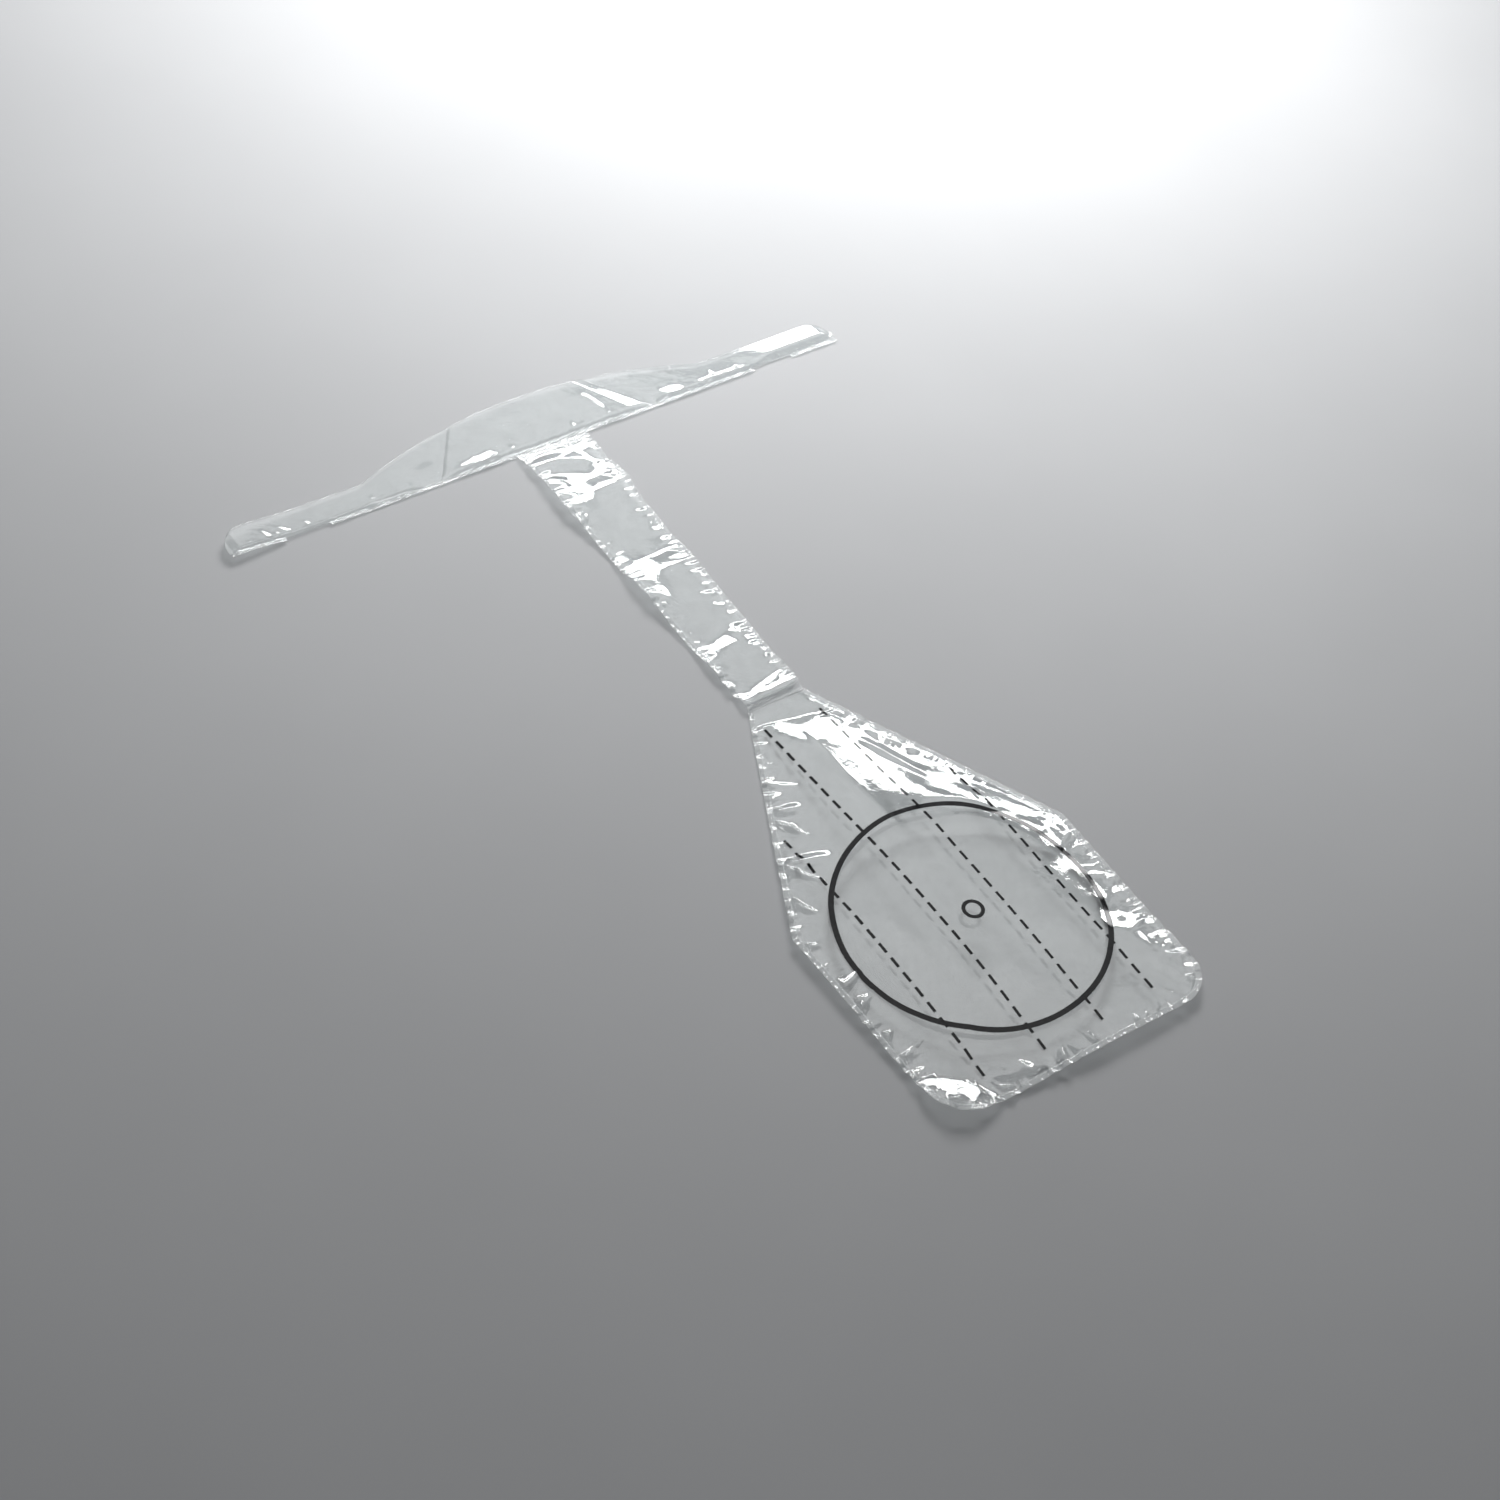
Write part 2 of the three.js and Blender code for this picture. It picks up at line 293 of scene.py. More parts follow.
def piece(name, shells, material, slot, body, *nodes):
    """One object made of one or more shells, riding on a body and standing for CAD nodes."""
    points, faces, count = [], [], 0
    for shell_points, shell_faces in shells:
        points.append(shell_points)
        faces.append(shell_faces + count)
        count += len(shell_points)
    mesh = bpy.data.meshes.new(name)
    mesh.from_pydata((np.concatenate(points) * MM).tolist(), [], np.concatenate(faces).tolist())
    mesh.polygons.foreach_set("use_smooth", [True] * len(mesh.polygons))
    mesh.set_sharp_from_angle(angle=math.radians(60))
    mesh.materials.append(material)
    made = bpy.data.objects.new(name, mesh)
    bpy.context.scene.collection.objects.link(made)
    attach(made, body)
    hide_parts(*nodes)
    return made


# ---- Materials -------------------------------------------------------------------------------------------

def new_material(name):
    material = bpy.data.materials.new(name)
    material.use_nodes = True
    material.node_tree.nodes.clear()
    return material, material.node_tree.nodes, material.node_tree.links


def noise_node(nodes, links, scale, detail):
    """Noise on object coordinates, so that it stays with the piece."""
    place = nodes.new("ShaderNodeTexCoord")
    noise = nodes.new("ShaderNodeTexNoise")
    noise.inputs["Scale"].default_value = scale
    noise.inputs["Detail"].default_value = detail
    links.new(place.outputs["Object"], noise.inputs["Vector"])
    return noise.outputs["Fac"]


def range_node(nodes, links, value, low, high):
    """Spreads the middle of a noise over low to high."""
    spread = nodes.new("ShaderNodeMapRange")
    spread.inputs["From Min"].default_value = 0.35
    spread.inputs["From Max"].default_value = 0.65
    spread.inputs["To Min"].default_value = low
    spread.inputs["To Max"].default_value = high
    links.new(value, spread.inputs["Value"])
    return spread.outputs["Result"]


def bump_node(nodes, links, height, strength, distance):
    bump = nodes.new("ShaderNodeBump")
    bump.inputs["Strength"].default_value = strength
    bump.inputs["Distance"].default_value = distance
    links.new(height, bump.inputs["Height"])
    return bump.outputs["Normal"]


def two_tone(nodes, links, value, span, dark, light):
    """Shades from a dark colour to a light one as a noise goes over a span."""
    colour = nodes.new("ShaderNodeValToRGB")
    for element, place, shade in zip(colour.color_ramp.elements, span, (dark, light)):
        element.position = place
        element.color = (*shade, 1)
    links.new(value, colour.inputs["Fac"])
    return colour.outputs["Color"]


def mixed(nodes, links, share, first, second):
    """The first shader where share is 0, and the second where it is 1."""
    mixer = nodes.new("ShaderNodeMixShader")
    links.new(share, mixer.inputs["Fac"])
    links.new(first, mixer.inputs[1])
    links.new(second, mixer.inputs[2])
    return mixer.outputs["Shader"]


def outer_fresnel(nodes, links, normal):
    """How much of the light a surface mirrors on its outer side, and 0 on its inner side."""
    fresnel = nodes.new("ShaderNodeFresnel")
    fresnel.inputs["IOR"].default_value = FILM_INDEX
    links.new(normal, fresnel.inputs["Normal"])
    side = nodes.new("ShaderNodeNewGeometry")
    outside = nodes.new("ShaderNodeMath")
    outside.operation = "SUBTRACT"
    outside.inputs[0].default_value = 1
    links.new(side.outputs["Backfacing"], outside.inputs[1])
    shine = nodes.new("ShaderNodeMath")
    shine.operation = "MULTIPLY"
    links.new(fresnel.outputs["Fac"], shine.inputs[0])
    links.new(outside.outputs["Value"], shine.inputs[1])
    return shine.outputs["Value"]


def show(nodes, links, shader):
    output = nodes.new("ShaderNodeOutputMaterial")
    links.new(shader, output.inputs["Surface"])


def clear_film(name, tint, haze, gloss_roughness, bump_strength, bump_scale):
    """Thin clear film: see-through, with a gloss that grows towards grazing angles and a trace of haze."""
    material, nodes, links = new_material(name)
    wrinkle = noise_node(nodes, links, bump_scale, 3)
    normal = bump_node(nodes, links, wrinkle, bump_strength, WRINKLE_DEPTH)
    rub = noise_node(nodes, links, RUB_SCALE, 4)

    through = nodes.new("ShaderNodeBsdfTransparent")
    through.inputs["Color"].default_value = (*tint, 1)
    milk = nodes.new("ShaderNodeBsdfDiffuse")
    milk.inputs["Color"].default_value = (*MILK_COLOUR, 1)
    links.new(normal, milk.inputs["Normal"])
    cloud = range_node(nodes, links, rub, haze * 0.6, haze * 1.4)
    body = mixed(nodes, links, cloud, through.outputs["BSDF"], milk.outputs["BSDF"])

    gloss = nodes.new("ShaderNodeBsdfGlossy")
    gloss.inputs["Color"].default_value = (1, 1, 1, 1)
    roughness = range_node(nodes, links, rub, gloss_roughness * 0.6, gloss_roughness * 1.5)
    links.new(roughness, gloss.inputs["Roughness"])
    links.new(normal, gloss.inputs["Normal"])
    shine = outer_fresnel(nodes, links, normal)
    show(nodes, links, mixed(nodes, links, shine, body, gloss.outputs["BSDF"]))
    return material


def ink_material():
    """Black printed ink with a trace of the film's gloss, slightly worn in places."""
    material, nodes, links = new_material("printed_ink")
    wear = noise_node(nodes, links, 700, 4)
    colour = two_tone(nodes, links, wear, (0.3, 0.8), (0.006, 0.006, 0.007), (0.02, 0.021, 0.023))
    shader = nodes.new("ShaderNodeBsdfPrincipled")
    links.new(colour, shader.inputs["Base Color"])
    links.new(range_node(nodes, links, wear, 0.06, 0.14), shader.inputs["Roughness"])
    shader.inputs["Specular IOR Level"].default_value = 0.15
    show(nodes, links, shader.outputs["BSDF"])
    return material


def floor_material():
    """Pale grey, almost matt, and faintly cloudy."""
    material, nodes, links = new_material("pale_floor")
    cloud = noise_node(nodes, links, 6, 5)
    colour = two_tone(nodes, links, cloud, (0.3, 0.7), (0.505, 0.512, 0.522), (0.53, 0.537, 0.547))
    shader = nodes.new("ShaderNodeBsdfPrincipled")
    links.new(colour, shader.inputs["Base Color"])
    shader.inputs["Roughness"].default_value = 0.75
    shader.inputs["Specular IOR Level"].default_value = 0.2
    show(nodes, links, shader.outputs["BSDF"])
    return material


film_look = clear_film("clear_film", (0.9925, 0.9975, 0.997), haze=0.034, gloss_roughness=0.05,
                       bump_strength=0.2, bump_scale=220)
seal_look = clear_film("sealed_film", (0.985, 0.992, 0.991), haze=0.12, gloss_roughness=0.08,
                       bump_strength=0.5, bump_scale=900)
ink_look = ink_material()


# ---- Outlines --------------------------------------------------------------------------------------------

def collar_top(x):
    """Height of the collar's folded edge above its seam, at a distance x from the middle."""
    hump = (FOLD_Y - SEAM_Y - ARM_WIDTH) * np.maximum(1 - (x / HUMP_HALF) ** 2, 0)
    into_tip = np.clip(x - (TIP_X - TIP_RADIUS), 0, TIP_RADIUS)
    return ARM_WIDTH + hump - (TIP_RADIUS - np.sqrt(TIP_RADIUS**2 - into_tip**2))


CREASE_TOP = float(collar_top(CREASE_TOP_X))
CREASE_LEAN = (CREASE_BOTTOM_X - CREASE_TOP_X) / CREASE_TOP
CREASE_HALF_GAP = CLEARANCE / 2 * math.hypot(1, CREASE_LEAN)


def strap_half(y):
    """Half the strap's width at y, on its cut edge."""
    return mix(STRAP_END_HALF, STRAP_TOP_HALF, (y - STRAP_END_Y) / (STRAP_TOP_Y - STRAP_END_Y))


FLARE_SLOPE = (SHOULDER_HALF - STRAP_END_HALF) / (STRAP_END_Y - SHOULDER_Y)
SIDE_SLOPE = (SHOULDER_HALF - PADDLE_END_HALF) / (SHOULDER_Y - PADDLE_END_Y)


def paddle_half(y, inset):
    """Half the paddle's width at y, measured to an outline inset from its cut edge."""
    flare = STRAP_END_HALF + FLARE_SLOPE * (STRAP_END_Y - y) - inset * math.hypot(1, FLARE_SLOPE)
    side = SHOULDER_HALF - SIDE_SLOPE * (SHOULDER_Y - y) - inset * math.hypot(1, SIDE_SLOPE)
    radius = CORNER_RADIUS - inset
    into_corner = np.clip(PADDLE_END_Y + CORNER_RADIUS - y, 0, radius)
    return np.minimum(flare, side) - (radius - np.sqrt(radius**2 - into_corner**2))


def paddle_outline(inset, step):
    """Points from the neck's right side, round the bottom edge, to the neck's left side."""
    radius = CORNER_RADIUS - inset
    turn = np.linspace(0, math.pi / 2, 24, endpoint=False)
    corner_y = PADDLE_END_Y + CORNER_RADIUS - radius * np.cos(turn)
    straight_y = np.arange(PADDLE_END_Y + CORNER_RADIUS, PADDLE_TOP_Y, step)
    rows = np.concatenate([corner_y, straight_y, [PADDLE_TOP_Y]])
    half = paddle_half(rows, inset)
    right = np.stack([half, rows], axis=1)[::-1]
    left = np.stack([-half, rows], axis=1)
    bottom_x = np.arange(half[0] - step, -half[0], -step)
    bottom = np.stack([bottom_x, np.full(len(bottom_x), rows[0])], axis=1)
    return np.concatenate([right, bottom, left])


def path_lengths(path):
    return np.concatenate([[0], np.cumsum(np.linalg.norm(np.diff(path, axis=0), axis=1))])


def edge_place(x, y, path):
    """Distance to a path and place along it, for each point."""
    points = np.stack([np.ravel(x), np.ravel(y)], axis=1)
    starts, runs = path[:-1], np.diff(path, axis=0)
    squares = (runs**2).sum(axis=1)
    lengths = path_lengths(path)
    best = np.full(len(points), np.inf)
    along = np.zeros(len(points))
    for start, run, square, length in zip(starts, runs, squares, lengths):
        share = np.clip(((points - start) @ run) / square, 0, 1)
        gap = np.linalg.norm(points - start - share[:, None] * run, axis=1)
        closer = gap < best
        best = np.where(closer, gap, best)
        along = np.where(closer, length + share * math.sqrt(square), along)
    return best.reshape(np.shape(x)), along.reshape(np.shape(x))


# ---- Paddle ----------------------------------------------------------------------------------------------

PADDLE_CROWN = 9.5
NECK_HEIGHT = HINGE_HEIGHT - 0.3
NECK_RISE = 3.9
NECK_SLANT = 0.2
NECK_BREAKS = (11, 29, 92)  # how far below the neck's top the film starts up, eases off and levels out
BOTTOM_DROP = 2.6
RIGHT_DROP = 3.4
LEFT_CLIMB = 0.15
RIGHT_CLIMB = 0.18
STEEPER_CLIMB = 0.17
SHOULDER_SAG = 0.05
SHOULDER_REACH = 9
CROWN_ROUNDING = 1.6
STEEPER_ROUNDING = 1.8
BACK_DEPTH = 3.4
EDGE_REST = 0.9
LEFT_CURL = 2.6
RIGHT_CURL = 2
BOTTOM_REST = 0.6
BOTTOM_CURL = 3.2
BOTTOM_SAG = 0.6
PADDLE_WELD = paddle_outline(SEAL_WIDTH, 2.0)
PADDLE_WELD_LENGTH = path_lengths(PADDLE_WELD)[-1]

# Each fold: its start, its end, its height, and the width of its near and far flank.
PADDLE_FOLDS = [
    ((20, -40), (36, -80), 0.6, 4, 4),
    ((-14, -22), (-3, -60), 0.4, 14, 7),
    ((24, -84), (62, -106), 0.8, 6, 7),
    ((44, -177), (70, -179), 0.45, 12, 8),
    ((56, -204), (73, -207), 0.45, 7, 7),
    ((-42, -211), (-20, -217), 1.1, 4, 5),
    ((-60, -78), (-34, -88), 1.4, 6, 5),
    ((-42, -54), (-28, -58), 1.2, 5, 4),
    ((-48, -62), (-36, -66), 1.0, 4, 4),
]
CORNER_CURL = 4.3
CORNER_CURL_CENTRE = (-65, -213)
CORNER_CURL_LONG = 28
CORNER_CURL_SHORT = 11


def paddle_edge_height(x, y):
    """Height of the sealed edge, also used as the height that carries on between the two sides: the left
    side and the bottom edge curl up off the floor."""
    left = EDGE_REST + LEFT_CURL * ramp(y, -25, -120) * ramp(y, -214, -145)
    right = EDGE_REST + RIGHT_CURL * ramp(y, -165, -212)
    sides = mix(left, right, smooth(x / (2 * SHOULDER_HALF) + 0.5))
    bottom = BOTTOM_REST + BOTTOM_CURL * ramp(x, -50, 10) - BOTTOM_SAG * ramp(x, 10, 66)
    lifted = mix(sides, bottom, ramp(y, PADDLE_END_Y + 40, PADDLE_END_Y))
    right_of, above = x - CORNER_CURL_CENTRE[0], y - CORNER_CURL_CENTRE[1]
    along_curl = (right_of - above) / math.sqrt(2) / CORNER_CURL_LONG
    across_curl = (right_of + above) / math.sqrt(2) / CORNER_CURL_SHORT
    lifted = lifted + CORNER_CURL * np.exp(-along_curl**2 - across_curl**2)
    return mix(lifted, NECK_HEIGHT, ramp(y, PADDLE_TOP_Y - 12, PADDLE_TOP_Y))


def paddle_weld_height(along):
    """The weld's small waves, which end at the neck."""
    ends = ramp(along, 0, 14) * ramp(along, PADDLE_WELD_LENGTH, PADDLE_WELD_LENGTH - 14)
    return 0.32 * ripple(along, 31, 4.5) * ends


def paddle_crown(x, y):
    """Height of the pillow away from its edges: it climbs from the neck in two steps, and sinks towards
    the bottom and, beside the ring, towards the right."""
    start, kink, level = (PADDLE_TOP_Y - place for place in NECK_BREAKS)
    down = y + NECK_SLANT * x
    crown = NECK_HEIGHT + NECK_RISE * rise_to(down, start, kink)
    crown += (PADDLE_CROWN - NECK_HEIGHT - NECK_RISE) * rise_to(down, kink, level)
    crown -= BOTTOM_DROP * ramp(y, -140, PADDLE_END_Y + 8)
    crown -= RIGHT_DROP * ramp(x, -5, 52) * ramp(y, -74, -116)
    return crown


def paddle_swell(x, y, distance):
    """Height of the pillow before its folds: a climb from the edge that meets the crown. The climb is
    steeper on the right, above the shoulder."""
    edge = paddle_edge_height(x, y)
    steeper = hill(y, -95, 42) * ramp(x, 0, 40)
    climb = mix(LEFT_CLIMB, RIGHT_CLIMB, ramp(x, 0, 40)) + STEEPER_CLIMB * steeper
    sag = SHOULDER_SAG * np.minimum(distance, SHOULDER_REACH) * ramp(x, 5, 30)
    crown = np.maximum(paddle_crown(x, y), edge)
    return soft_min(edge + climb * distance - sag, crown, CROWN_ROUNDING + STEEPER_ROUNDING * steeper)


def paddle_relief(x, y, distance, along):
    """What the front ply adds to the swell: folds, facets, and puckers along the weld."""
    facets = 0.22 * crumple(x, y, 5, 30) * ramp(distance, 0, 14) * ramp(distance, 60, 20)
    facets += 0.16 * crumple(x, y, 6, 13) * ramp(distance, 0, 6) * ramp(distance, 30, 14)
    all_round = (16, PADDLE_WELD_LENGTH - 16)
    tents = puckers(along, distance, 11, all_round, spacing=6.5, steepness=0.42, reach=13)
    bottom_and_left = (PADDLE_WELD_LENGTH / 2 - PADDLE_END_HALF, PADDLE_WELD_LENGTH - 50)
    tents += puckers(along, distance, 12, bottom_and_left, spacing=9, steepness=0.6, reach=15)
    neck = ramp(y, PADDLE_TOP_Y, PADDLE_TOP_Y - 14)
    return fold_heights(x, y, PADDLE_FOLDS) * ramp(distance, 0, 3.5) + (facets + tents) * neck


def paddle_heights(x, y):
    """Heights of the middle of the back ply and of the front ply."""
    distance, along = edge_place(x, y, PADDLE_WELD)
    distance = np.where(np.abs(x) < paddle_half(y, SEAL_WIDTH), distance, 0)
    neck = ramp(y, PADDLE_TOP_Y, PADDLE_TOP_Y - 14)
    weld = paddle_weld_height(along) * ramp(distance, 7, 0)
    swell = paddle_swell(x, y, distance)
    back = np.maximum(swell - BACK_DEPTH * ramp(distance, 0, 34) * neck, REST_HEIGHT) + weld
    front = swell + weld + paddle_relief(x, y, distance, along)
    return back, np.maximum(front, back + PLY_GAP)


def paddle_rows(inset, step):
    radius = CORNER_RADIUS - inset
    turn = np.linspace(0.12, math.pi / 2, 16, endpoint=False)
    corner = PADDLE_END_Y + CORNER_RADIUS - radius * np.cos(turn)
    straight = np.arange(PADDLE_END_Y + CORNER_RADIUS, PADDLE_TOP_Y, step)
    return np.concatenate([[PADDLE_END_Y + inset], corner, straight, [PADDLE_TOP_Y]])


def paddle_ply(step, columns):
    rows = paddle_rows(FILM_INSET, step)[:, None]
    across = np.sin(np.linspace(-1, 1, columns) * math.pi / 2)[None, :]
    x = across * paddle_half(rows, FILM_INSET)
    y = np.broadcast_to(rows, x.shape)
    return x, y


def ribbon(path, offsets, heights):
    """A grid along a path, with a column at each offset to the left of it."""
    run = np.gradient(path, axis=0)
    run /= np.linalg.norm(run, axis=1, keepdims=True)
    aside = np.stack([-run[:, 1], run[:, 0]], axis=1)
    flat = path[:, None, :] + aside[:, None, :] * np.asarray(offsets)[None, :, None]
    return np.concatenate([flat, heights[..., None]], axis=2)


BEAD_OFFSETS = np.array([0, 0.25, 0.6, 1.2, 1.8, 2.15, 2.4])
BEAD_SHAPE = np.array([0.7, 1, 0.3, 0, 0, 0.25, 0.1])


def bead_thickness(rows):
    """A seal is thicker along its cut edge and along its weld."""
    return np.broadcast_to(SEAL_BODY + SEAL_BEAD * BEAD_SHAPE[::-1], (rows, len(BEAD_SHAPE)))


def build_paddle_seal():
    cut = paddle_outline(0, 0.9)[::-1]
    inward = BEAD_OFFSETS[::-1]
    grid = ribbon(cut, inward, np.zeros((len(cut), len(inward))))
    _, along = edge_place(grid[..., 0], grid[..., 1], PADDLE_WELD)
    outward = 1.5 - inward / SEAL_WIDTH / 2
    height = paddle_edge_height(grid[..., 0], grid[..., 1]) + paddle_weld_height(along) * outward
    grid[..., 2] = height + PLY_GAP / 2
    return piece("paddle_seal", [shell(grid, bead_thickness(len(cut)))],
                 seal_look, "seal", "paddle", "paddle_edge_seal")


def build_paddle():
    x, y = paddle_ply(0.9, 181)
    _, front = paddle_heights(x, y)
    front_ply = piece("paddle_front", [shell(np.stack([x, y, front], axis=2), FILM)],
                      film_look, "film", "paddle", "paddle_front_film")
    x, y = paddle_ply(2.4, 61)
    back, _ = paddle_heights(x, y)
    back_ply = piece("paddle_back", [shell(np.stack([x, y, back], axis=2), FILM)],
                     film_look, "film", "paddle", "paddle_back_film")
    edge = build_paddle_seal()


# ---- Printed marks ---------------------------------------------------------------------------------------

def on_paddle(x, y):
    """A grid of points laid on the front ply."""
    _, front = paddle_heights(x, y)
    return np.stack([x, y, front + MARK_LIFT], axis=2)


def printed_ring(name, low, high, line, steps, columns, node):
    centre_y = (low[1] + high[1]) / 2
    outer = (high[0] - low[0]) / 2
    turn = np.linspace(0, 2 * math.pi, steps, endpoint=False)[:, None]
    radius = np.linspace(outer - line, outer, columns)[None, :]
    x = radius * np.cos(turn)
    y = centre_y + radius * np.sin(turn)
    return piece(name, [shell(on_paddle(x, y), MARK_THICKNESS, closed=True)], ink_look, "ink",
                 "paddle", node)


def printed_dashes(name, side, low, high, first_centre, node):
    """A row of dashes, from the first one down to the line's bottom end. side is -1 for the left row."""
    centre_x = side * (low[0] + high[0]) / 2
    dashes = []
    middle = first_centre
    while middle - DASH_LENGTH / 2 > low[1] - 1:
        across = np.linspace(-DASH_WIDTH / 2, DASH_WIDTH / 2, 3)[None, :]
        down = np.linspace(-DASH_LENGTH / 2, DASH_LENGTH / 2, 8)[:, None]
        x = np.broadcast_to(centre_x + across, (8, 3))
        y = np.broadcast_to(middle + down, (8, 3))
        dashes.append(shell(on_paddle(x, y), MARK_THICKNESS))
        middle -= DASH_PITCH
    return piece(name, dashes, ink_look, "ink", "paddle", node)


def build_marks():
    """Two rings and four rows of dashes. The rows on the left mirror the boxes of those on the right."""
    printed_ring("target_circle", RING_LOW, RING_HIGH, RING_LINE, 300, 4, "target_ring")
    printed_ring("target_spot", SPOT_LOW, SPOT_HIGH, SPOT_LINE, 60, 4, "centre_ring")
    for label, side in (("left", -1), ("right", 1)):
        first = INNER_HIGH[1] - 3 - (0.5 if side > 0 else 0)
        printed_dashes(f"inner_{label}_dashes", side, INNER_LOW, INNER_HIGH, first,
                       f"inner_{label}_line")
        first = OUTER_HIGH[1] - 2.5
        printed_dashes(f"outer_{label}_dashes", side, OUTER_LOW, OUTER_HIGH, first,
                       f"outer_{label}_line")


# ---- Strap -----------------------------------------------------------------------------------------------

# Each fold: its start, its end, its height, and the width of its near and far flank.
STRAP_FOLDS = [
    ((-12, 144.5), (26, 150), 1.2, 26, 9.5),
    ((-22, 88), (22, 91), 1.9, 30, 12),
    ((-19, 76), (-8, 77), 0.9, 4, 5),
    ((-22, 31), (14, 38), 1.5, 26, 9),
    ((6, 40), (19, 49), 0.9, 5, 6),
    ((-22, 2), (22, 6), 2.0, 5, 9),
    ((-14, 180), (10, 166), 0.8, 9, 6),
    ((-19, 162), (-9, 160), 0.8, 4, 5),
]

# Each kink: the side, its place along the strap, its reach each way, and how far the edge stands out.
STRAP_KINKS = [(1, 153, 16, 1.3), (1, 100, 14, 0.7), (-1, 143, 14, 1.0), (-1, 96, 12, 0.5), (1, 12, 12, 0.9)]

# Each lift: its place along the strap, its reach each way, and its height.
STRAP_LEFT_LIFTS = [(148, 40, 3.4), (78, 38, 2.0), (22, 24, 1.0)]
STRAP_RIGHT_LIFTS = [(152, 26, 1.6), (60, 30, 0.6)]
STRAP_LEFT_REST = 1.0
STRAP_RIGHT_REST = 0.8
STRAP_SWELL = 0.5
TOP_SLOPE = 0.17


def lifted_edge(y, rest, lifts):
    return rest + sum(height * hill(y, centre, reach) for centre, reach, height in lifts)


def strap_edge_height(x, y):
    """Height of the sealed edges, and of the straight line from one to the other. Both ends come down to
    the hinges, the upper one along an even slope."""
    left = lifted_edge(y, STRAP_LEFT_REST, STRAP_LEFT_LIFTS)
    right = lifted_edge(y, STRAP_RIGHT_REST, STRAP_RIGHT_LIFTS)
    lifted = mix(left, right, np.clip(x / (2 * STRAP_TOP_HALF) + 0.5, 0, 1))
    lifted = mix(HINGE_HEIGHT - 0.1, lifted, ramp(y, STRAP_END_Y, STRAP_END_Y + 8))
    towards_collar = HINGE_HEIGHT - 0.1 + TOP_SLOPE * (STRAP_TOP_Y - y)
    return mix(lifted, towards_collar, ramp(y, STRAP_TOP_Y - 22, STRAP_TOP_Y - 9))


def kinked(x, y):
    """Moves the strap's outline out a little where a fold shortens that edge."""
    moved = x + 0.25 * ripple(y, 45, 18) * x / STRAP_END_HALF
    for side, centre, reach, size in STRAP_KINKS:
        share = np.clip(side * x / STRAP_TOP_HALF, 0, 1)
        moved = moved + side * size * hill(y, centre, reach) * share * share
    return moved


def strap_fold_height(x, y):
    ends = ramp(y, STRAP_TOP_Y - 6, STRAP_TOP_Y - 12) * ramp(y, STRAP_END_Y, STRAP_END_Y + 2.5)
    return fold_heights(x, y, STRAP_FOLDS) * ends


def strap_weld_height(y, side):
    return 0.3 * ripple(y, 41 + side, 6) * ramp(y, STRAP_END_Y, 8) * ramp(y, STRAP_TOP_Y, STRAP_TOP_Y - 8)


def strap_heights(x, y):
    """Heights of the middle of the back ply and of the front ply."""
    half = strap_half(y) - SEAL_WIDTH
    distance = np.maximum(half - np.abs(x), 0)
    ripples = np.where(x > 0, strap_weld_height(y, 1), strap_weld_height(y, -1)) * ramp(distance, 6, 0)
    edge = strap_edge_height(x, y)
    folds = strap_fold_height(x, y)
    ends = ramp(y, STRAP_TOP_Y - 8, STRAP_TOP_Y - 20) * ramp(y, STRAP_END_Y, STRAP_END_Y + 4)
    sunk = mix(REST_HEIGHT + 0.5 * (edge - REST_HEIGHT), edge, ramp(distance, 16, 0)) + ripples
    back = mix(edge, sunk, ends) + 0.5 * folds
    swell = STRAP_SWELL * np.clip(1 - (x / half) ** 2, 0, 1) * ends
    front = edge + folds + swell + ripples + PLY_GAP
    front = front + 0.08 * crumple(x, y, 8, 17, 1.8) * ends * ramp(distance, 0, 5)
    for side, seed in ((-1, 21), (1, 22)):
        edge_puckers = puckers(y, distance, seed, (8, 178), spacing=6.0, steepness=0.3, reach=8)
        front = front + np.where(side * x > 0, edge_puckers, 0)
    return back, np.maximum(front, back + PLY_GAP)


def strap_ply(step, columns):
    low = END_WELD_Y - WELD_OVERLAP
    high = TOP_WELD_Y + WELD_OVERLAP
    rows = np.arange(low, high, step)[:, None]
    across = np.linspace(-1, 1, columns)[None, :]
    x = across * (strap_half(rows) - FILM_INSET)
    return x, np.broadcast_to(rows, x.shape)


def strap_cross_weld(name, low_y, high_y, node):
    rows = np.linspace(low_y, high_y, 7)[:, None]
    across = np.linspace(-1, 1, 45)[None, :]
    x = across * strap_half(rows)
    y = np.broadcast_to(rows, x.shape)
    height = strap_edge_height(x, y) + strap_fold_height(x, y) + PLY_GAP / 2
    height = height + 0.08 * ripple(x, 51, 7)
    grid = np.stack([kinked(x, y), y, height], axis=2)
    return piece(name, [shell(grid, SEAL_BODY)], seal_look, "seal", "strap", node)


def strap_side_seal(name, side, node):
    rows = np.arange(END_WELD_Y + CLEARANCE, TOP_WELD_Y - CLEARANCE + 0.1, 0.8)
    inward = BEAD_OFFSETS[::-1] if side > 0 else BEAD_OFFSETS
    x = side * (strap_half(rows)[:, None] - inward[None, :])
    y = np.broadcast_to(rows[:, None], x.shape)
    outward = 1.5 - np.abs(strap_half(rows)[:, None] - np.abs(x)) / SEAL_WIDTH / 2
    height = strap_edge_height(x, y) + strap_fold_height(x, y) + strap_weld_height(y, side) * outward
    grid = np.stack([kinked(x, y), y, height + PLY_GAP / 2], axis=2)
    thickness = bead_thickness(len(rows))[:, ::side]
    return piece(name, [shell(grid, thickness)], seal_look, "seal", "strap", node)


